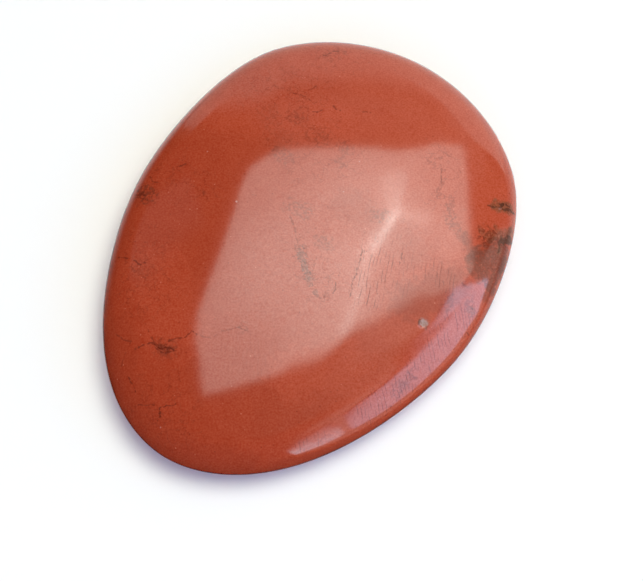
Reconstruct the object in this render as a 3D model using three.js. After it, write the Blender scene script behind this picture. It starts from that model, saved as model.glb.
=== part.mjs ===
// A palm stone: one flat, egg-shaped pebble of polished red jasper.
// Units are millimetres and +Z is up. +X runs along the stone to its blunt end.
// The origin is under the middle of the stone, on the surface that it rests on.
import * as THREE from 'three';
import { mergeVertices } from 'three/addons/utils/BufferGeometryUtils.js';

// Outline, seen from above, before the edge is rounded off
const LENGTH = 65.2;
const WIDTH = 50;
const BLUNTNESS = 0.18; // how much wider the blunt end is than the middle, as a share
const BELLY = 0.12; // how much both ends are fuller than an ellipse's
const BEND = -0.65; // sideways bow of the long axis
const SQUARENESS = 1.9; // 2 is an ellipse, less is a little leaner
const WORN_FLANKS = [
  // straighter stretches of the outline: the way they face, and their reach from the middle
  { facing: 83, reach: 27.1 },
  { facing: -79, reach: 29.35 },
];
const FLANK_BLEND = 6;

// Section. Heights are above and below the stone's widest level.
const TOP_HEIGHT = 6;
const TOP_CROWN = 2.7; // how far the top falls from its middle to the outline
const UNDER_DEPTH = 5.8;
const UNDER_CROWN = 2.9;
const REST_DEPTH = 5.65; // the small flat spot underneath cuts the lowest point off here
const EDGE_BLEND = 4.2; // rounds the edge to a radius of about 3.6

// Ridge: a faint line across the top, beyond which it falls away a little faster
const RIDGE_FACING = -83;
const RIDGE_REACH = 10.4; // from the middle of the stone to the line
const RIDGE_SLOPE = 0.028;
const RIDGE_BLEND = 1.2;

// Bevel: the stone's flank is ground in two passes that run together
const BEVEL_FACING = -105;
const BEVEL_INSET = 2.3; // from the outline to where the two passes meet
const BEVEL_HEIGHT = 2.7;
const BEVEL_TILTS = [26, 37];
const BEVEL_ROLL = 1; // blend between the two passes
const BEVEL_CREASE = 0.3; // blend along the bevel's lower edge
const BEVEL_EASE = 0.1; // how much softer the blend gets towards its upper edge
const BEVEL_FADE = 3; // how fast the bevel runs out to both sides

const MESH_DETAIL = 20; // 8820 triangles
const HALVINGS = 40;
const SHORTEST = 0.3; // as shares of the starting ellipsoid, around where the surface lies
const LONGEST = 1.6;

const radians = THREE.MathUtils.degToRad;

// The larger of two values, with a rounded change from one to the other
function smoothMax(a, b, blend) {
  const overlap = Math.max(blend - Math.abs(a - b), 0) / blend;
  return Math.max(a, b) + overlap * overlap * blend / 4;
}

// How far a point lies outside a straight side that faces a given way
function outsideSide(x, y, facing, reach) {
  return x * Math.cos(radians(facing)) + y * Math.sin(radians(facing)) - reach;
}

// How far a point lies outside the egg-shaped outline, seen from above
function outsideOutline(x, y) {
  const along = x / (LENGTH / 2);
  const halfWidth = WIDTH / 2 * (1 + BLUNTNESS * along + BELLY * along * along);
  const across = (y - BEND * (1 - along * along)) / halfWidth;
  const sum = Math.abs(along) ** SQUARENESS + Math.abs(across) ** SQUARENESS;
  let outside = (sum ** (1 / SQUARENESS) - 1) * (LENGTH + WIDTH) / 4;
  for (const { facing, reach } of WORN_FLANKS) {
    outside = smoothMax(outside, outsideSide(x, y, facing, reach), FLANK_BLEND);
  }
  return outside;
}

// How far the top has fallen beyond the ridge
function ridgeFall(x, y) {
  return RIDGE_SLOPE * smoothMax(0, outsideSide(x, y, RIDGE_FACING, RIDGE_REACH), RIDGE_BLEND);
}

// How far a point lies outside the bevel, which follows the outline and fades out sideways
function outsideBevel(x, y, z, outline) {
  const turnedAway = 1 - Math.cos(Math.atan2(y, x) - radians(BEVEL_FACING));
  const height = BEVEL_HEIGHT + BEVEL_FADE * turnedAway;
  const passes = BEVEL_TILTS.map((tilt) => (
    (z - height) * Math.cos(radians(tilt)) + (outline + BEVEL_INSET) * Math.sin(radians(tilt))
  ));
  return smoothMax(passes[0], passes[1], BEVEL_ROLL);
}

// How far a point lies outside the whole stone: below zero is inside
function outsideStone(x, y, z) {
  const spread = (x / (LENGTH / 2)) ** 2 + (y / (WIDTH / 2)) ** 2;
  const outline = outsideOutline(x, y);
  const top = z - (TOP_HEIGHT - TOP_CROWN * spread - ridgeFall(x, y));
  const under = -z - (UNDER_DEPTH - UNDER_CROWN * spread);
  let outside = smoothMax(outline, top, EDGE_BLEND);
  outside = smoothMax(outside, under, EDGE_BLEND);
  const ease = BEVEL_CREASE + BEVEL_EASE * Math.max(-outline - BEVEL_INSET, 0);
  outside = smoothMax(outside, outsideBevel(x, y, z, outline), ease);
  return Math.max(outside, -z - REST_DEPTH);
}

// Moves a point of the ellipsoid along its line from the middle, until it lies on the stone
function settle(point) {
  let inner = SHORTEST;
  let outer = LONGEST;
  for (let i = 0; i < HALVINGS; i++) {
    const middle = (inner + outer) / 2;
    if (outsideStone(point.x * middle, point.y * middle, point.z * middle) < 0) {
      inner = middle;
    } else {
      outer = middle;
    }
  }
  return point.multiplyScalar(inner);
}

function stoneGeometry() {
  const sphere = new THREE.IcosahedronGeometry(1, MESH_DETAIL);
  sphere.deleteAttribute('normal');
  sphere.deleteAttribute('uv');
  const geometry = mergeVertices(sphere);
  geometry.scale(LENGTH / 2, WIDTH / 2, TOP_HEIGHT);
  const position = geometry.attributes.position;
  const point = new THREE.Vector3();
  for (let i = 0; i < position.count; i++) {
    settle(point.fromBufferAttribute(position, i));
    position.setXYZ(i, point.x, point.y, point.z);
  }
  geometry.computeBoundingBox();
  const middle = geometry.boundingBox.getCenter(new THREE.Vector3());
  geometry.translate(-middle.x, -middle.y, -geometry.boundingBox.min.z);
  geometry.computeVertexNormals();
  return geometry;
}

const jasper = new THREE.MeshStandardMaterial({ color: 0xb04a30, roughness: 0.15, metalness: 0 });

const stone = new THREE.Mesh(stoneGeometry(), jasper);
stone.name = 'stone';

const group = new THREE.Group();
group.add(stone);

export default group;
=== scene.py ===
import math

import bmesh
import bpy
import numpy as np
from mathutils import Matrix, Vector


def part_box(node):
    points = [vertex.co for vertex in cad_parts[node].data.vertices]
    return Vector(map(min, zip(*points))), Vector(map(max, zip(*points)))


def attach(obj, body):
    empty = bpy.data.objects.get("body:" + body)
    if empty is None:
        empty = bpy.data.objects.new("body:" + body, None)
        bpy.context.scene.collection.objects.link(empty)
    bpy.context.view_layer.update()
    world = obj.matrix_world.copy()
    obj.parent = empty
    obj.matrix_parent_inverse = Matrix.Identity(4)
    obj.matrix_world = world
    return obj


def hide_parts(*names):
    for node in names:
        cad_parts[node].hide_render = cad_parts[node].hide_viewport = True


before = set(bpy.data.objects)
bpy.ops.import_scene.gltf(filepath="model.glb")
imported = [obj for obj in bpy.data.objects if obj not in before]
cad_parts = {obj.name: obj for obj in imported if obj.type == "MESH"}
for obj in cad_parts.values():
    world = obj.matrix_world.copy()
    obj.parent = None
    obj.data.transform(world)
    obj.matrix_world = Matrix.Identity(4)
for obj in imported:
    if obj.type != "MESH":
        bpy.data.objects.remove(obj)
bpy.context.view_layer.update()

# One palm stone of polished red jasper, on a pale table under soft window light.
# The stone's form is worked out in millimetres, as it is drawn, and then laid
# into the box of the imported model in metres. A rise is a pair of values, where
# something starts and where it is full.
MM = 0.001

# Photograph
PHOTO_WIDTH = 643
PHOTO_HEIGHT = 581
LENS = 85.0
SENSOR = 36.0
CAMERA_ELEVATION = math.radians(68)
CAMERA_TURN = math.radians(-59.15)  # how far round the stone the photograph was taken
CAMERA_DISTANCE = 0.1976
CAMERA_AIM = Vector((-0.00313, -0.0046, 0.00565))

# Outline, seen from above, before the edge is rounded off
LENGTH = 65.2
WIDTH = 50
BLUNTNESS = 0.18  # how much wider the blunt end is than the middle, as a share
BELLY = 0.12  # how much both ends are fuller than an ellipse's
BEND = -0.65  # sideways bow of the long axis
SQUARENESS = 1.9  # 2 is an ellipse, less is a little leaner
WORN_FLANKS = [(83, 27.1), (-79, 29.35)]  # the way each faces, and its reach from the middle
FLANK_BLEND = 6

# Section. Heights are above and below the stone's widest level.
TOP_HEIGHT = 6
TOP_CROWN = 2.7  # how far the top falls from its middle to the outline
UNDER_DEPTH = 5.8
UNDER_CROWN = 2.9
REST_DEPTH = 5.65  # the small flat spot underneath cuts the lowest point off here
EDGE_BLEND = 4.2  # rounds the edge to a radius of about 3.6

# Ridge: a faint line across the top, beyond which it falls away a little faster
RIDGE_FACING = -83
RIDGE_REACH = 10.4  # from the middle of the stone to the line
RIDGE_SLOPE = 0.028
RIDGE_BLEND = 1.2

# Bevel: the stone's flank is ground in two passes that run together
BEVEL_FACING = -105
BEVEL_INSET = 2.3  # from the outline to where the two passes meet
BEVEL_HEIGHT = 2.7
BEVEL_TILTS = [26, 37]
BEVEL_ROLL = 1  # blend between the two passes
BEVEL_CREASE = 0.3  # blend along the bevel's lower edge
BEVEL_EASE = 0.1  # how much softer the blend gets towards its upper edge
BEVEL_FADE = 3  # how fast the bevel runs out to both sides

# Chip in the top: its place on the laid stone, and how wide and deep it is
CHIP = (-1.9, -18.8, 9.8)
CHIP_RADIUS = 0.5
CHIP_FLOOR = 1 / 3  # its deepest part, as a share of the radius
CHIP_DEPTH = 0.08

# Mesh: the grid of a cube, blown up to an ellipsoid whose points then settle on the stone
MESH_CUTS = 127
HALVINGS = 30
SHORTEST = 0.3  # as shares of the ellipsoid, around where the surface lies
LONGEST = 1.6

# Window overhead. Its places are right and away of the stone, as shares of its height.
WINDOW_HEIGHT = 1.2
WINDOW_CELLS = 90
WINDOW_FOOT = [
    (-0.258, 0.28), (-0.25, 0.23), (-0.225, 0.16), (-0.203, 0.093), (-0.19, 0.084), (-0.124, 0.086),
    (-0.05, 0.095), (0.125, 0.115), (0.27, 0.16), (0.36, 0.20), (0.456, 0.24), (0.565, 0.265),
]
WINDOW_TOP = [
    (-0.258, 0.29), (-0.246, 0.35), (-0.224, 0.454), (-0.212, 0.63), (-0.197, 0.70), (-0.13, 0.74),
    (0.09, 0.706), (0.24, 0.679), (0.30, 0.688), (0.49, 0.683), (0.51, 0.66), (0.525, 0.50),
    (0.54, 0.37), (0.565, 0.29),
]
WINDOW_COLOUR = (0.98, 1.0, 0.92)
WINDOW_HEART = (0.20, 0.38)  # where it is brightest
WINDOW_FADE = 0.45  # how far from there it gets to its dimmest
WINDOW_BRIGHTEST = 6.0
WINDOW_DIMMEST = 3.0
WINDOW_STREAKS = [
    # places, half width, extra strength
    ([(0.262, 0.46), (0.246, 0.431), (0.221, 0.401), (0.205, 0.385)], 0.043, 3.2),
    ([(0.221, 0.401), (0.192, 0.36), (0.186, 0.319), (0.192, 0.264), (0.187, 0.214), (0.172, 0.18)],
     0.06, 1.7),
    ([(0.252, 0.455), (0.246, 0.50), (0.237, 0.57)], 0.065, 2.1),
    ([(0.262, 0.455), (0.30, 0.462), (0.343, 0.448), (0.389, 0.44)], 0.027, 2.3),
    ([(-0.13, 0.42), (-0.12, 0.34)], 0.16, 0.7),
    ([(-0.19, 0.14), (-0.08, 0.17)], 0.15, -0.3),
    ([(0.27, 0.60), (0.42, 0.52)], 0.14, -0.6),
    ([(0.30, 0.28), (0.40, 0.29)], 0.12, -0.7),
    ([(0.44, 0.23), (0.53, 0.27)], 0.11, -0.6),
    ([(0.47, 0.36), (0.50, 0.44)], 0.06, 0.6),
    ([(0.07, 0.46), (0.17, 0.46)], 0.10, -0.8),
    ([(0.03, 0.09), (0.125, 0.108), (0.27, 0.152), (0.40, 0.21)], 0.05, -3.0),
]

# Walls and side windows around the stone. Bearings and heights are in degrees.
# A bearing goes from straight away from the camera to the right.
WALL_COLUMNS = 40
WALL_ROWS = 16
WALLS = [
    # name, distance, colour, strengths at both ends, share of the height over which its top fades,
    # then its foot and its top
    ("far_wall", 2.0, (1.0, 0.93, 0.86), (0.95, 1.45), 0.03,
     [(-34, 2), (-27, -10), (45, -10), (58, 6)],
     [(-34, 14), (-28, 40), (-18, 45), (-12, 47), (-8, 45.5), (0, 46.5), (20, 47.5), (28, 49),
      (33, 50), (38, 49), (42, 43), (47, 34), (51, 23), (58, 8)]),
    ("right_wall", 2.0, (1.0, 0.90, 0.80), (1, 1), 0.4,
     [(58, 58), (70, 50), (76, 4), (156, 4)],
     [(58, 80), (75, 83), (100, 80), (120, 72), (135, 62), (150, 48), (156, 36)]),
    ("side_window", 1.7, (0.64, 0.84, 1.10), (5.3, 3.2), 0.6,
     [(62, 59.8), (67, 58.8), (71, 57.3), (75, 54), (79, 50.5), (83, 45.8), (86, 41.5), (88, 34),
      (89.5, 20), (97, 18), (100, 14), (104, 20), (120, 23), (136, 25)],
     [(62, 62), (76, 64), (84, 67), (94, 67), (104, 61), (111, 54), (118, 46), (124, 39),
      (136, 35)]),
    ("side_pane", 1.7, (0.80, 0.92, 1.05), (3.8, 4.6), 0.5,
     [(138, 28), (141, 20), (148, 16), (157, 10)],
     [(138, 32), (141, 37), (150, 39), (157, 33)]),
    ("faint_wall", 1.7, (1.0, 0.95, 0.90), (0.3, 0.3), 0.5,
     [(-48, 48), (-28, 50)],
     [(-48, 62), (-28, 60)]),
    ("veil", 2.3, (1.0, 0.91, 0.82), (0.40, 0.32), 0.5,
     [(-15, 40), (45, 40)],
     [(-15, 48), (-8, 57), (45, 57)]),
]

# Broad overhead light, for matte surfaces only. Its places are shares of its height too.
OVERHEAD_HEIGHT = 0.8
OVERHEAD_CENTRE = (0.23, -0.04)
OVERHEAD_RADIUS = 0.505
OVERHEAD_CELLS = 30
OVERHEAD_COLOUR = (1.0, 1.03, 0.87)
OVERHEAD_STRENGTH = 12.2

# Table. Its glow keeps it pale far away from the stone.
TABLE_REACH = 3.0
TABLE_COLOUR = (0.94, 0.94, 0.94)
TABLE_GLOW = (0.6, 0.56, 0.35)
TABLE_GLOW_RISE = (0.3, 1.2)  # distances from the stone

# Room. Directions are right, away and up.
NEAR_FILL = (0.53, 0.66, 1.20)
FAR_FILL = (0.37, 0.29, 0.26)
NEAR_SIDE = (0.57, -0.82, 0.09)
NEAR_RISE = (0.03, 0.3)
ROOM_SLANT = (0.42, 0.74, -2.2)  # which way the mirrored room gets brighter, and how fast
ROOM_LEVEL = -0.15
ROOM_AHEAD = (0.35, 0.9, 0.25)  # which way it fades in
ROOM_RISE = (-0.25, 0.45)

# Jasper. Colours are linear, and lengths are in millimetres. A noise has a size and a detail.
NOISE_MIDDLE = 0.5
# The red on the left is partly the stone's own colour and partly painted shade, darker where the
# left side turns away from the light.
RED = (0.338, 0.044, 0.0168)  # on the left of the photograph
ORANGE = (0.455, 0.075, 0.034)  # on its right
WAY_TO_ORANGE = (0.96, 0.28, 0)
ORANGE_RISE = (-28, 30)  # along that way, from the middle of the stone
POLISH = 0.075  # roughness
CHIP_ROUGHNESS = 0.5
DULLNESS = 0.45  # of the dark marks
QUARTZ_IOR = 1.54
GRAIN = (0.32, 0.85, 1.2)  # how much red, green and blue change
GRAIN_NOISE = (0.22, 0)
GLOSS = 0.5
GLOSS_GRAIN = 0.36
MOTTLE = (0.12, 0.24, 0.30)
MOTTLE_NOISE = (2.2, 5)
UNDULATION = 0.004  # height
UNDULATION_NOISE = (4, 2)
ROUGH_GRAIN = 0.00015  # height
ROUGH_GRAIN_NOISE = (0.4, 0)

# Edges of the markings
WARP = 0.45  # how far they wander
WARP_NOISE = (1.1, 3)
RAGGED = 1.5  # how ragged a stain is, as a share of its half width
RAGGED_NOISE = (0.8, 6)
FRAYED = 2.4  # how ragged a crack is
FRAYED_NOISE = (0.4, 3)
MARK_RISE = (-1, -0.4)  # from a mark's edge inwards, in half widths

# Colours of the markings
DARK = (0.135, 0.021, 0.010)
BLACK = (0.085, 0.030, 0.016)
UMBER = (0.215, 0.045, 0.022)
GREY = (0.20, 0.066, 0.044)
SMUDGE = (0.20, 0.035, 0.016)
MOSS = (0.20, 0.066, 0.031)
BEIGE = (0.32, 0.16, 0.125)
WHITE = (0.60, 0.36, 0.30)
PALE = (0.58, 0.18, 0.105)
BRIGHT = (0.50, 0.080, 0.036)

# Markings. Each has its half width in millimetres, its strength, and one place or a line
# through a few of them. The places are pixels of the photograph.
UMBER_MARKS = [
    (2.4, 1.0, [(480, 258), (487, 265)]),
    (1.5, 0.95, [(475, 262), (482, 274)]),
    (1.1, 0.8, [(470, 260), (472, 270)]),
    (2.0, 1.0, [(492, 252), (502, 254)]),
    (1.6, 1.0, [(503, 250), (500, 262), (496, 275), (491, 286)]),
    (1.0, 0.7, [(491, 286), (485, 297)]),
    (1.1, 0.45, [(464, 236), (470, 247)]),
    (0.8, 0.4, [(162, 347), (168, 349)]),
]
GREY_MARKS = [
    (0.5, 0.35, [(300, 252), (303, 264), (308, 279)]),
    (1.4, 0.45, [(477, 252), (488, 254)]),
]
SMUDGES = [
    (0.7, 0.6, [(201, 192)]),
    (2.2, 0.4, [(142, 270)]),
    (1.9, 1.0, [(142, 193), (147, 196)]),
    (1.8, 0.6, [(162, 347), (170, 350)]),
    (2.0, 0.25, [(270, 112), (270, 120)]),
    (2.0, 0.45, [(297, 117)]),
    (2.2, 0.22, [(275, 137), (286, 140)]),
    (1.3, 0.45, [(328, 55), (338, 52)]),
    (1.5, 0.45, [(312, 134), (322, 139)]),
    (1.0, 0.55, [(341, 145), (346, 148)]),
    (1.0, 0.35, [(340, 158), (341, 162)]),
    (1.5, 0.5, [(278, 153), (287, 157)]),
    (1.3, 0.6, [(374, 214), (383, 215)]),
    (1.0, 0.6, [(449, 207), (451, 224)]),
    (1.5, 0.5, [(292, 206), (306, 211)]),
    (1.2, 0.5, [(319, 241), (322, 238), (329, 247)]),
    (0.9, 0.6, [(446, 306), (451, 298)]),
    (1.1, 0.5, [(466, 238), (458, 230), (452, 220)]),
    (1.8, 0.9, [(488, 236), (500, 238)]),
    (1.0, 0.5, [(242, 328)]),
    (0.8, 1.0, [(300, 248), (303, 264), (309, 281)]),
    (0.5, 0.7, [(314, 291), (315, 296)]),
    (1.6, 0.25, [(138, 266), (142, 278)]),
    (1.2, 0.6, [(397, 392), (404, 383), (411, 374)]),
    (1.1, 0.55, [(469, 304), (472, 312)]),
]
# Darker cloudy patches in the stone. Two of them are partly painted shade.
DARK_CLOUDS_AND_PAINTED_SHADE = [
    (3.6, 0.28, [(408, 302), (430, 294), (452, 284)]),
    # painted shade: darker beside the streak, where less of the window is mirrored
    (3.5, 0.12, [(350, 205), (385, 228), (410, 250)]),
    # painted shade along the lower-left rim, which turns away from the light
    (2.8, 0.12, [(118, 330), (124, 375), (150, 422), (185, 452), (240, 462)]),
]
# Lighter cloudy patches in the stone. The first is painted light.
LIGHT_CLOUDS_AND_PAINTED_LIGHT = [
    # painted light: the middle of the left side, lit more than its rim
    (5.5, 0.30, [(158, 275), (175, 330)]),
    (4.5, 0.30, [(225, 112), (330, 122)]),
    (4.5, 0.35, [(295, 372), (345, 366)]),
]
MOSS_MARKS = [
    (1.3, 0.7, [(492, 236), (503, 235)]),
    (0.9, 0.7, [(506, 234), (511, 232)]),
    (0.5, 0.5, [(495, 226)]),
    (0.6, 0.6, [(498, 244), (499, 252)]),
    (1.2, 0.8, [(497, 206), (509, 207)]),
    (0.6, 0.6, [(481, 231)]),
    (0.9, 0.3, [(471, 310)]),
]
DARK_MARKS = [
    (0.18, 0.80, [(134, 348), (138, 347)]),
    (0.15, 0.80, [(137, 347), (142, 345), (147, 343), (152, 343), (156, 345)]),
    (0.21, 1.00, [(157, 345), (163, 347), (168, 348), (173, 350)]),
    (0.15, 0.80, [(154, 347), (161, 350), (170, 352)]),
    (0.14, 0.70, [(153, 344), (160, 344), (166, 345)]),
    (0.13, 0.60, [(150, 337), (154, 342), (158, 346)]),
    (0.14, 0.70, [(167, 341), (175, 338), (184, 336), (193, 331), (197, 333)]),
    (0.13, 0.40, [(197, 333), (211, 338), (223, 330), (237, 327), (246, 331)]),
    (0.14, 0.50, [(172, 349), (178, 348), (186, 352)]),
    (0.14, 0.60, [(115, 333), (121, 337), (131, 341)]),
    (0.13, 0.50, [(131, 341), (127, 348), (123, 357), (119, 371)]),
    (0.12, 0.45, [(144, 322), (148, 329), (152, 338)]),
    (0.15, 0.90, [(160, 408), (159, 415), (157, 421)]),
    (0.15, 0.85, [(160, 407), (167, 405), (175, 404), (181, 404)]),
    (0.15, 0.80, [(128, 376), (133, 388), (135, 391)]),
    (0.14, 0.70, [(138, 404), (146, 405), (153, 404)]),
    (0.36, 0.90, [(138, 194), (144, 194)]),
    (0.17, 0.70, [(143, 193), (149, 192)]),
    (0.15, 0.60, [(141, 198), (147, 200)]),
    (0.14, 0.40, [(145, 189), (150, 191), (154, 192)]),
    (0.13, 0.60, [(149, 177), (153, 181), (157, 182)]),
    (0.15, 0.80, [(178, 166), (184, 164), (188, 163), (191, 161)]),
    (0.12, 0.45, [(179, 158), (182, 161), (184, 164)]),
    (0.17, 0.80,
     [(118, 257), (125, 258), (130, 260), (135, 261), (140, 264), (145, 261), (146, 258)]),
    (0.17, 0.60, [(324, 55), (329, 53), (334, 51), (339, 50)]),
    (0.14, 0.60, [(294, 92), (300, 94), (305, 96), (311, 100)]),
    (0.13, 0.50, [(308, 89), (313, 87), (316, 85)]),
    (0.14, 0.65, [(312, 112), (316, 112), (321, 110)]),
    (0.18, 0.60, [(332, 106), (336, 108), (340, 110)]),
    (0.14, 0.50, [(362, 111), (367, 112)]),
    (0.14, 0.50, [(370, 112), (374, 113)]),
    (0.14, 0.50, [(274, 82), (276, 88), (283, 87)]),
    (0.17, 0.60, [(286, 142), (288, 142)]),
    (0.13, 0.45, [(290, 214), (293, 224), (296, 236), (297, 246)]),
    (0.14, 0.70, [(362, 249), (358, 262), (355, 276), (351, 288), (349, 297)]),
    (0.11, 0.60, [(339, 270), (336, 283), (333, 295)]),
    (0.11, 0.60, [(402, 252), (398, 267)]),
    (0.12, 0.60, [(436, 270), (436, 279)]),
    (0.12, 0.60, [(442, 276), (443, 286)]),
    (0.12, 0.60, [(441, 166), (441, 184)]),
    (0.11, 0.45, [(438, 188), (437, 201)]),
    (0.14, 0.50, [(462, 283), (466, 287)]),
    (0.17, 0.60, [(466, 332), (468, 334)]),
]
BLACK_MARKS = [
    (0.20, 0.70, [(488, 205), (494, 207), (500, 206)]),
    (0.28, 0.90, [(499, 204), (503, 204)]),
    (0.22, 0.80, [(502, 208), (508, 210), (514, 212)]),
    (0.22, 0.80, [(506, 204), (509, 207)]),
    (0.85, 0.90, [(502, 241), (510, 240)]),
    (0.22, 0.70, [(498, 242), (498, 252)]),
    (0.90, 0.40, [(504, 261), (500, 270)]),
    (0.45, 0.45, [(489, 241), (495, 239)]),
    (0.50, 0.40, [(510, 229), (508, 236)]),
    (0.15, 0.60, [(470, 306), (473, 313)]),
    (0.24, 0.70, [(419, 320), (418, 324), (420, 327)]),
    (0.20, 0.40, [(426, 326), (426, 328)]),
]
ROUGH_MARKS = [
    (0.85, 1.0, [(423, 323)]),
    (0.30, 0.45, [(499, 208)]),
]
WHITE_MARKS = [
    (0.18, 0.8, [(236, 201)]),
    (0.14, 0.4, [(359, 161)]),
    (0.14, 0.3, [(343, 191)]),
    (0.14, 0.3, [(207, 151)]),
    (0.14, 0.3, [(160, 427)]),
]
VEINED_AREAS = [
    (6.5, 0.32, [(275, 90), (300, 100)]),
    (4.5, 0.30, [(280, 128), (320, 136)]),
    (4.5, 0.25, [(330, 55), (345, 58)]),
    (6.0, 0.35, [(140, 255), (145, 290)]),
    (6.0, 0.3, [(160, 400), (165, 420)]),
    (4.0, 0.3, [(300, 165), (350, 155)]),
    (5.0, 0.3, [(160, 175), (200, 185)]),
    (3.0, 0.25, [(488, 232), (502, 240)]),
    (3.5, 0.4, [(440, 160), (442, 200)]),
    (3.0, 0.4, [(300, 250), (320, 290)]),
]
DASHED_AREAS = [
    # lean in degrees, length of a dash, half width, strength, places
    (79, 2.2, 3.2, 0.75, [(376, 256), (372, 275), (368, 294)]),
    (80, 1.6, 3.0, 0.45, [(396, 245), (400, 285)]),
    (82, 1.4, 2.2, 0.75, [(434, 270), (446, 284)]),
    (90, 1.6, 4.0, 0.20, [(238, 350), (255, 362)]),
    (103, 2.2, 2.6, 0.70, [(366, 412), (400, 386), (430, 354), (462, 318)]),
    (103, 2.2, 1.3, 0.95, [(396, 392), (411, 374)]),
    (100, 2.2, 1.2, 0.60, [(300, 446), (325, 437)]),
]

# Patterns inside the marked areas
PATCH_NOISE = (0.35, 3)
PATCH_RISE = (0.12, 0.50)
SMUDGE_NOISE = (0.4, 3)
SMUDGE_RISE = (0.40, 0.60)
VEIN_NOISE = (1.6, 4)
VEIN_RISE = (0.022, 0.004)
ROW_SPACING = 0.47
ROW_RISE = (0.18, 0.02)  # across a row, as shares of the spacing
ROW_WANDER = 1.5  # in rows
ROW_WANDER_NOISE = (3, 2)
DASH_NOISE = (1, 2)  # its size is one spacing by the length of a dash
DASH_RISE = (0.43, 0.62)

# Specks all over the stone
SPECK_SPACING = 0.8
SPECK_RISE = (0.165, 0.055)  # from a speck's middle, as shares of the spacing
SPECK_STRENGTH = 0.55
SPECK_NOISE = (SPECK_SPACING, 2)
PALE_SPECK_RISE = (0.44, 0.34)
DARK_SPECK_RISE = (0.48, 0.62)

GAP = "gap to a line"  # names the group of nodes that measures it


def smooth_max(a, b, blend):
    """The larger of two values, with a rounded change from one to the other."""
    overlap = np.maximum(blend - np.abs(a - b), 0) / blend
    return np.maximum(a, b) + overlap**2 * blend / 4


def smooth_step(value, start, end):
    """Goes smoothly from 0 at the start to 1 at the end."""
    share = np.clip((value - start) / (end - start), 0, 1)
    return share**2 * (3 - 2 * share)


def outside_side(x, y, facing, reach):
    """How far a point lies outside a straight side that faces a given way."""
    angle = math.radians(facing)
    return x * math.cos(angle) + y * math.sin(angle) - reach


def outside_outline(x, y):
    """How far a point lies outside the egg-shaped outline, seen from above."""
    along = x / (LENGTH / 2)
    half_width = WIDTH / 2 * (1 + BLUNTNESS * along + BELLY * along**2)
    across = (y - BEND * (1 - along**2)) / half_width
    total = np.abs(along) ** SQUARENESS + np.abs(across) ** SQUARENESS
    outside = (total ** (1 / SQUARENESS) - 1) * (LENGTH + WIDTH) / 4
    for facing, reach in WORN_FLANKS:
        outside = smooth_max(outside, outside_side(x, y, facing, reach), FLANK_BLEND)
    return outside


def outside_bevel(x, y, z, outline):
    """How far a point lies outside the bevel, which follows the outline and fades out sideways."""
    turned_away = 1 - np.cos(np.arctan2(y, x) - math.radians(BEVEL_FACING))
    height = BEVEL_HEIGHT + BEVEL_FADE * turned_away
    passes = []
    for tilt in BEVEL_TILTS:
        angle = math.radians(tilt)
        passes.append((z - height) * math.cos(angle) + (outline + BEVEL_INSET) * math.sin(angle))
    return smooth_max(passes[0], passes[1], BEVEL_ROLL)


def ridge_fall(x, y):
    """How far the top has fallen beyond the ridge."""
    beyond = outside_side(x, y, RIDGE_FACING, RIDGE_REACH)
    return RIDGE_SLOPE * smooth_max(0, beyond, RIDGE_BLEND)


def outside_stone(x, y, z):
    """How far a point lies outside the stone: below zero is inside."""
    spread = (x / (LENGTH / 2)) ** 2 + (y / (WIDTH / 2)) ** 2
    outline = outside_outline(x, y)
    top = z - (TOP_HEIGHT - TOP_CROWN * spread - ridge_fall(x, y))
    under = -z - (UNDER_DEPTH - UNDER_CROWN * spread)
    outside = smooth_max(outline, top, EDGE_BLEND)
    outside = smooth_max(outside, under, EDGE_BLEND)
    ease = BEVEL_CREASE + BEVEL_EASE * np.maximum(-outline - BEVEL_INSET, 0)
    outside = smooth_max(outside, outside_bevel(x, y, z, outline), ease)
    return np.maximum(outside, -z - REST_DEPTH)


def settled(points):
    """Moves points of the starting ellipsoid along their lines from the middle, onto the stone."""
    inner = np.full(len(points), SHORTEST)
    outer = np.full(len(points), LONGEST)
    for _ in range(HALVINGS):
        middle = (inner + outer) / 2
        inside = outside_stone(*(points * middle[:, None]).T) < 0
        inner = np.where(inside, middle, inner)
        outer = np.where(inside, outer, middle)
    return points * inner[:, None]


def make_stone():
    """The stone, with its chip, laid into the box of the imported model."""
    shape = bmesh.new()
    bmesh.ops.create_cube(shape, size=2)
    bmesh.ops.subdivide_edges(shape, edges=shape.edges[:], cuts=MESH_CUTS, use_grid_fill=True)
    mesh = bpy.data.meshes.new("polished_stone")
    shape.to_mesh(mesh)
    shape.free()
    cube = np.zeros(len(mesh.vertices) * 3)
    mesh.vertices.foreach_get("co", cube)
    cube = np.tan(cube.reshape(-1, 3) * math.pi / 4)  # evens out the grid on the sphere
    sphere = cube / np.linalg.norm(cube, axis=1, keepdims=True)
    points = settled(sphere * np.array([LENGTH / 2, WIDTH / 2, TOP_HEIGHT]))
    lowest, highest = (np.array(corner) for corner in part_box("stone"))
    size = points.max(0) - points.min(0)
    points = (points - points.min(0)) * (highest - lowest) / size + lowest
    from_chip = np.linalg.norm(points / MM - np.array(CHIP), axis=1)
    untouched = smooth_step(from_chip, CHIP_RADIUS * CHIP_FLOOR, CHIP_RADIUS)
    points[:, 2] -= CHIP_DEPTH * MM * (1 - untouched)
    mesh.vertices.foreach_set("co", points.ravel())
    mesh.polygons.foreach_set("use_smooth", [True] * len(mesh.polygons))
    mesh.update()
    stone = bpy.data.objects.new("polished_stone", mesh)
    bpy.context.scene.collection.objects.link(stone)
    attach(stone, "root")
    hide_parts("stone")
    return stone


def make_camera():
    """The camera, where the photograph was taken from."""
    data = bpy.data.cameras.new("camera")
    data.lens = LENS
    data.sensor_width = SENSOR
    camera = bpy.data.objects.new("camera", data)
    turn = Matrix.Rotation(CAMERA_TURN, 3, "Z")
    back = turn @ Vector((0, -math.cos(CAMERA_ELEVATION), math.sin(CAMERA_ELEVATION)))
    camera.location = CAMERA_AIM + back * CAMERA_DISTANCE
    camera.rotation_euler = back.to_track_quat("Z", "Y").to_euler()
    bpy.context.scene.collection.objects.link(camera)
    bpy.context.scene.camera = camera
    return camera


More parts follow.
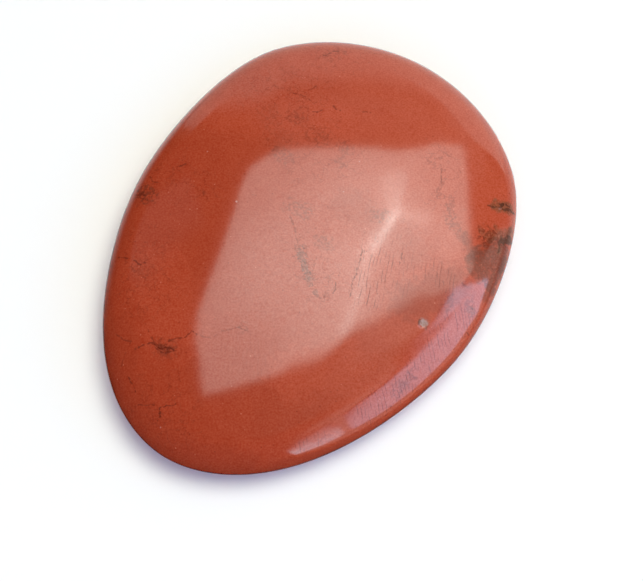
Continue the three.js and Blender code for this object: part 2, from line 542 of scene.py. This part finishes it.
class Shading:
    """Adds nodes to a tree. An input takes a number, a vector or another node's output."""

    def __init__(self, tree):
        self.tree = tree

    def fill(self, node, inputs):
        """Sets or links a node's inputs."""
        for name, value in inputs.items():
            if isinstance(value, bpy.types.NodeSocket):
                self.tree.links.new(value, node.inputs[name])
            else:
                node.inputs[name].default_value = value

    def add(self, kind, inputs, output=0, **settings):
        """Makes a node and returns one of its outputs."""
        node = self.tree.nodes.new("ShaderNode" + kind)
        for name, setting in settings.items():
            setattr(node, name, setting)
        self.fill(node, inputs)
        return node.outputs[output]

    def math(self, operation, *values):
        return self.add("Math", dict(enumerate(values)), operation=operation)

    def vector(self, operation, *values):
        output = "Value" if operation in ("DOT_PRODUCT", "DISTANCE", "LENGTH") else "Vector"
        return self.add("VectorMath", dict(enumerate(values)), output, operation=operation)

    def rise(self, value, start, end):
        """Goes smoothly from 0 at the start to 1 at the end."""
        inputs = {"Value": value, "From Min": start, "From Max": end}
        return self.add("MapRange", inputs, interpolation_type="SMOOTHSTEP", clamp=False)

    def noise(self, place, size, detail, output=0):
        inputs = {"Vector": place, "Scale": 1 / size, "Detail": detail}
        return self.add("TexNoise", inputs, output)

    def around(self, middle, noise, amount):
        """A noise that goes up and down around a middle value."""
        return self.math("MULTIPLY_ADD", noise, amount, middle - amount * NOISE_MIDDLE)

    def vary(self, colour, noise, amounts):
        """Makes a colour lighter and darker with a noise."""
        lowest = [1 - amount * NOISE_MIDDLE for amount in amounts]
        return self.vector("MULTIPLY", colour, self.vector("MULTIPLY_ADD", noise, amounts, lowest))

    def mix(self, share, below, above):
        """Goes from one colour to another. The numbers are those of the node's colour sockets."""
        return self.add("Mix", {0: share, 6: below, 7: above}, 2, data_type="RGBA")

    def cover(self, colour, share, above):
        return self.mix(share, colour, (*above, 1))

    def distance(self, place, line):
        """How far a place lies from a line through a few others."""
        if len(line) == 1:
            return self.vector("DISTANCE", place, line[0])
        nearest = None
        group = bpy.data.node_groups[GAP]
        for start, end in zip(line[:-1], line[1:]):
            gap = self.add("Group", {0: place, 1: start, 2: end - start}, node_tree=group)
            nearest = gap if nearest is None else self.math("MINIMUM", nearest, gap)
        return nearest

    def marks(self, place, ragged, marks):
        """How far marks with ragged edges cover each place."""
        cover = None
        for half_width, strength, line in marks:
            depth = self.math("MULTIPLY_ADD", self.distance(place, line), -1 / half_width, ragged)
            mark = self.math("MULTIPLY", self.rise(depth, *MARK_RISE), strength)
            cover = mark if cover is None else self.math("MAXIMUM", cover, mark)
        return cover


def distance_to_line(points, line):
    """How far each point of a grid lies from a line that runs through a few places."""
    nearest = np.full(points.shape[:-1], np.inf)
    for start, end in zip(line[:-1], line[1:]):
        start, along = np.array(start), np.subtract(end, start)
        share = np.clip((points - start) @ along / (along @ along), 0, 1)
        gap = np.linalg.norm(points - start - share[..., None] * along, axis=-1)
        nearest = np.minimum(nearest, gap)
    return nearest


def make_lamp(name, places, glow, colour, in_polish=True):
    """A glowing sheet through a grid of places, for the polish or else for matte surfaces."""
    rows, columns = glow.shape
    corner = np.arange(rows * columns).reshape(rows, columns)
    faces = np.stack([corner[:-1, :-1], corner[:-1, 1:], corner[1:, 1:], corner[1:, :-1]], -1)
    mesh = bpy.data.meshes.new(name)
    mesh.from_pydata(places.reshape(-1, 3), [], faces.reshape(-1, 4))
    mesh.attributes.new("glow", "FLOAT", "POINT").data.foreach_set("value", glow.ravel())
    lamp = bpy.data.objects.new(name, mesh)
    lamp.rotation_euler.z = CAMERA_TURN
    material = bpy.data.materials.new(name)
    material.use_nodes = True
    nodes = material.node_tree.nodes
    nodes.clear()
    shading = Shading(material.node_tree)
    strength = shading.add("Attribute", {}, "Fac", attribute_name="glow")
    emission = shading.add("Emission", {"Color": (*colour, 1), "Strength": strength})
    shading.fill(nodes.new("ShaderNodeOutputMaterial"), {"Surface": emission})
    mesh.materials.append(material)
    bpy.context.scene.collection.objects.link(lamp)
    lamp.visible_camera = False
    lamp.visible_glossy = in_polish
    lamp.visible_diffuse = not in_polish


def between(foot, top, columns, rows):
    """A grid between two edges: places across and up, and the share of the way up."""
    across = np.linspace(top[0][0], top[-1][0], columns)
    share = np.linspace(0, 1, rows)[:, None]
    lower = np.interp(across, *zip(*foot))
    upper = np.interp(across, *zip(*top))
    return np.broadcast_arrays(across, lower + (upper - lower) * share, share)


def make_wall(name, distance, colour, strengths, fade, foot, top):
    """Part of a round wall, from one edge up to another, that dims towards its top."""
    bearing, height, share = between(foot, top, WALL_COLUMNS, WALL_ROWS)
    glow = np.linspace(*strengths, WALL_COLUMNS) * smooth_step(1 - share, 0, fade)
    bearing, height = np.radians(bearing), np.radians(height)
    right = np.cos(height) * np.sin(bearing)
    away = np.cos(height) * np.cos(bearing)
    make_lamp(name, distance * np.stack([right, away, np.sin(height)], -1), glow, colour)


def make_window():
    """The window overhead, brightest near one place, with a few brighter streaks."""
    right, away, share = between(WINDOW_FOOT, WINDOW_TOP, WINDOW_CELLS, WINDOW_CELLS)
    plane = np.stack([right, away], -1)
    fade = smooth_step(np.linalg.norm(plane - WINDOW_HEART, axis=-1), 0, WINDOW_FADE)
    glow = WINDOW_BRIGHTEST + (WINDOW_DIMMEST - WINDOW_BRIGHTEST) * fade
    for line, width, strength in WINDOW_STREAKS:
        glow += strength * (1 - smooth_step(distance_to_line(plane, line), 0, width))
    glow = np.maximum(glow, 0)
    places = np.stack([right, away, np.ones(glow.shape)], -1) * WINDOW_HEIGHT
    make_lamp("window", places, glow, WINDOW_COLOUR)


def make_overhead_light():
    """The broad light right above the stone, which fades towards its edge."""
    side = np.linspace(-OVERHEAD_RADIUS, OVERHEAD_RADIUS, OVERHEAD_CELLS)
    right, away = np.meshgrid(side, side)
    glow = OVERHEAD_STRENGTH * (1 - smooth_step(np.hypot(right, away), 0, OVERHEAD_RADIUS))
    places = np.stack([right, away, np.zeros(glow.shape)], -1) + (*OVERHEAD_CENTRE, 1)
    make_lamp("overhead_light", places * OVERHEAD_HEIGHT, glow, OVERHEAD_COLOUR, in_polish=False)


def make_room():
    """Fills the shadows, bluer on the near side. In the polish, its far side is the bright one."""
    world = bpy.data.worlds.new("room")
    bpy.context.scene.world = world
    world.use_nodes = True
    shading = Shading(world.node_tree)
    direction = shading.add("TexCoord", {}, "Generated")
    turn = Matrix.Rotation(CAMERA_TURN, 3, "Z")

    def towards(side):
        return shading.vector("DOT_PRODUCT", direction, turn @ Vector(side))

    near = shading.rise(towards(NEAR_SIDE), *NEAR_RISE)
    fill = shading.mix(near, (*FAR_FILL, 1), (*NEAR_FILL, 1))
    mirrored = shading.add("Clamp", {"Value": shading.math("ADD", towards(ROOM_SLANT), ROOM_LEVEL)})
    mirrored = shading.math("MULTIPLY", mirrored, shading.rise(towards(ROOM_AHEAD), *ROOM_RISE))
    in_polish = shading.add("LightPath", {}, "Is Glossy Ray")
    colour = shading.mix(in_polish, fill, mirrored)
    shading.fill(world.node_tree.nodes["Background"], {"Color": colour})


def make_lights():
    make_overhead_light()
    make_window()
    for wall in WALLS:
        make_wall(*wall)
    make_room()


def make_table():
    """A square table that catches the shadow and isn't mirrored in the stone."""
    mesh = bpy.data.meshes.new("table")
    ends = (-TABLE_REACH, TABLE_REACH)
    corners = [(x, y, 0) for x in ends for y in ends]
    mesh.from_pydata(corners, [], [(0, 2, 3, 1)])
    table = bpy.data.objects.new("table", mesh)
    material = bpy.data.materials.new("table")
    material.use_nodes = True
    shading = Shading(material.node_tree)
    distance = shading.vector("LENGTH", shading.add("TexCoord", {}, "Object"))
    shading.fill(material.node_tree.nodes["Principled BSDF"], {
        "Base Color": (*TABLE_COLOUR, 1),
        "Specular IOR Level": 0,
        "Emission Color": (*TABLE_GLOW, 1),
        "Emission Strength": shading.rise(distance, *TABLE_GLOW_RISE),
    })
    mesh.materials.append(material)
    bpy.context.scene.collection.objects.link(table)
    table.visible_glossy = False


def make_gap_group():
    """Nodes that tell how far a place lies from a straight line with a start and a length."""
    group = bpy.data.node_groups.new(GAP, "ShaderNodeTree")
    for name in ("Place", "Start", "Along"):
        group.interface.new_socket(name, socket_type="NodeSocketVector")
    group.interface.new_socket("Gap", in_out="OUTPUT", socket_type="NodeSocketFloat")
    place, start, along = group.nodes.new("NodeGroupInput").outputs[:3]
    shading = Shading(group)
    passed = shading.vector("SUBTRACT", place, start)
    whole = shading.vector("DOT_PRODUCT", along, along)
    share = shading.math("DIVIDE", shading.vector("DOT_PRODUCT", passed, along), whole)
    share = shading.add("Clamp", {"Value": share})
    reached = shading.add("VectorMath", {0: along, "Scale": share}, operation="SCALE")
    gap = shading.vector("DISTANCE", passed, reached)
    group.links.new(gap, group.nodes.new("NodeGroupOutput").inputs["Gap"])


def onto_stone(stone, camera, place):
    """Carries a place in the photograph onto the stone, in millimetres right and away."""
    x, y = place
    pixel = SENSOR / PHOTO_WIDTH
    right = (x + 0.5 - PHOTO_WIDTH / 2) * pixel  # the half leads to the middle of the pixel
    up = (PHOTO_HEIGHT / 2 - y - 0.5) * pixel
    into_stone = stone.matrix_world.inverted() @ camera.matrix_world
    ray = into_stone.to_3x3() @ Vector((right, up, -LENS))
    hit, location, _, _ = stone.ray_cast(into_stone.translation, ray)
    if not hit:
        raise ValueError(f"no stone at {place}")
    return Matrix.Rotation(-CAMERA_TURN, 3, "Z") @ location / MM


class JasperShading(Shading):
    """Nodes for the jasper. Their places are in millimetres, as the photograph lies."""

    def __init__(self, tree, stone, camera):
        super().__init__(tree)
        self.stone = stone
        self.camera = camera
        own = self.add("TexCoord", {}, "Object")
        turned = {"Vector": own, "Scale": [1 / MM] * 3, "Rotation": (0, 0, -CAMERA_TURN)}
        self.place = self.add("Mapping", turned)
        wobble = self.noise(self.place, *WARP_NOISE, output="Color")
        wobble = self.vector("SUBTRACT", wobble, [NOISE_MIDDLE] * 3)
        self.warped = self.vector("MULTIPLY_ADD", wobble, [2 * WARP] * 3, self.place)
        self.ragged = self.around(0, self.noise(self.place, *RAGGED_NOISE), RAGGED)
        self.frayed = self.around(0, self.noise(self.place, *FRAYED_NOISE), FRAYED)

    def placed(self, marks):
        """Marks whose places are carried from the photograph onto the stone."""
        return [
            (half_width, strength, [onto_stone(self.stone, self.camera, place) for place in line])
            for half_width, strength, line in marks
        ]

    def stains(self, marks):
        """How far marks with wandering, ragged edges cover each place."""
        return self.marks(self.warped, self.ragged, self.placed(marks))

    def clouded_and_shaded_red(self):
        """Red that turns to orange, with mottling and soft cloudy patches, some of them painted
        light and shade.
        """
        share = self.rise(self.vector("DOT_PRODUCT", self.place, WAY_TO_ORANGE), *ORANGE_RISE)
        colour = self.mix(share, (*RED, 1), (*ORANGE, 1))
        colour = self.vary(colour, self.noise(self.place, *MOTTLE_NOISE), MOTTLE)
        # Some of these patches are painted light and painted shade, not colour in the stone.
        for tint, clouds_and_shading in ((BRIGHT, LIGHT_CLOUDS_AND_PAINTED_LIGHT), (DARK, DARK_CLOUDS_AND_PAINTED_SHADE)):
            colour = self.cover(colour, self.stains(clouds_and_shading), tint)
        return colour

    def stained(self, colour):
        """Adds patchy stains, most of them in the inclusion at the right edge."""
        patchy = self.rise(self.noise(self.place, *PATCH_NOISE), *PATCH_RISE)
        for tint, marks in ((UMBER, UMBER_MARKS), (MOSS, MOSS_MARKS), (GREY, GREY_MARKS)):
            share = self.math("MULTIPLY", patchy, self.stains(marks))
            colour = self.cover(colour, share, tint)
        return colour

    def smudged(self, colour):
        """Adds smudges of many small dark spots."""
        spots = self.rise(self.noise(self.warped, *SMUDGE_NOISE), *SMUDGE_RISE)
        spots = self.math("MULTIPLY", spots, self.stains(SMUDGES))
        return self.cover(colour, spots, SMUDGE)

    def cracks(self):
        """Single cracks, and a net of faint veins along the middle level of a noise."""
        cracks = self.marks(self.warped, self.frayed, self.placed(DARK_MARKS))
        level = self.math("SUBTRACT", self.noise(self.warped, *VEIN_NOISE), NOISE_MIDDLE)
        level = self.math("ABSOLUTE", level)
        veined = self.stains(VEINED_AREAS)
        veins = self.math("MULTIPLY", self.rise(level, *VEIN_RISE), veined)
        return self.math("MAXIMUM", cracks, veins)

    def dashed(self, dark):
        """Adds areas of fine dashes, in rows that wander a little."""
        wander = self.math("MULTIPLY", self.noise(self.place, *ROW_WANDER_NOISE), ROW_WANDER)
        for lean, length, *area in DASHED_AREAS:
            turn = (0, 0, math.radians(90 - lean))
            turned = self.add("Mapping", {"Vector": self.place, "Rotation": turn})
            across = self.add("SeparateXYZ", {"Vector": turned}, "X")
            across = self.math("MULTIPLY_ADD", across, 1 / ROW_SPACING, wander)
            rows = self.rise(self.math("PINGPONG", across, 0.5), *ROW_RISE)
            dashes = self.vector("MULTIPLY", turned, (1 / ROW_SPACING, 1 / length, 1))
            dashes = self.rise(self.noise(dashes, *DASH_NOISE), *DASH_RISE)
            covered = self.marks(self.place, self.ragged, self.placed([area]))
            dashes = self.math("MULTIPLY", covered, dashes)
            dark = self.math("MAXIMUM", dark, self.math("MULTIPLY", rows, dashes))
        return dark

    def specks(self):
        """Pale specks and dark ones, which a noise chooses from one pattern."""
        inputs = {"Vector": self.place, "Scale": 1 / SPECK_SPACING}
        specks = self.rise(self.add("TexVoronoi", inputs, "Distance"), *SPECK_RISE)
        specks = self.math("MULTIPLY", specks, SPECK_STRENGTH)
        chosen = self.noise(self.place, *SPECK_NOISE)
        pale = self.math("MULTIPLY", specks, self.rise(chosen, *PALE_SPECK_RISE))
        dark = self.math("MULTIPLY", specks, self.rise(chosen, *DARK_SPECK_RISE))
        return pale, dark

    def bumps(self):
        """The slight undulation of the surface, and the finest grain in its polish."""
        height = self.math("MULTIPLY", self.noise(self.place, *UNDULATION_NOISE), UNDULATION)
        grain = self.noise(self.place, *ROUGH_GRAIN_NOISE)
        height = self.math("MULTIPLY_ADD", grain, ROUGH_GRAIN, height)
        return self.add("Bump", {"Height": height, "Distance": MM})


def make_jasper(stone, camera):
    """Layers the markings over the red. Dark ones and the chip are duller than the rest."""
    material = bpy.data.materials.new("jasper")
    material.use_nodes = True
    make_gap_group()
    jasper = JasperShading(material.node_tree, stone, camera)

    colour = jasper.stained(jasper.clouded_and_shaded_red())
    chipped = jasper.stains(ROUGH_MARKS)
    colour = jasper.cover(colour, chipped, BEIGE)
    colour = jasper.smudged(colour)
    dark = jasper.dashed(jasper.cracks())
    pale_specks, dark_specks = jasper.specks()
    dark = jasper.math("MAXIMUM", dark, dark_specks)
    colour = jasper.cover(colour, pale_specks, PALE)
    colour = jasper.cover(colour, dark, DARK)
    black = jasper.stains(BLACK_MARKS)
    colour = jasper.cover(colour, black, BLACK)
    white = jasper.marks(jasper.place, 0, jasper.placed(WHITE_MARKS))
    colour = jasper.cover(colour, white, WHITE)
    colour = jasper.vary(colour, jasper.noise(jasper.place, *GRAIN_NOISE), GRAIN)

    gloss = jasper.around(GLOSS, jasper.noise(jasper.warped, *GRAIN_NOISE), GLOSS_GRAIN)
    dull = jasper.math("MULTIPLY_ADD", jasper.math("MAXIMUM", dark, black), -DULLNESS, 1)
    jasper.fill(material.node_tree.nodes["Principled BSDF"], {
        "Base Color": colour,
        "Specular IOR Level": jasper.math("MULTIPLY", gloss, dull),
        "Normal": jasper.bumps(),
        "Roughness": jasper.math("MULTIPLY_ADD", chipped, CHIP_ROUGHNESS - POLISH, POLISH),
        "IOR": QUARTZ_IOR,
    })
    return material


camera = make_camera()
stone = make_stone()
bpy.context.view_layer.update()
stone.data.materials.append(make_jasper(stone, camera))
make_table()
make_lights()
bpy.context.scene.view_settings.view_transform = "Standard"
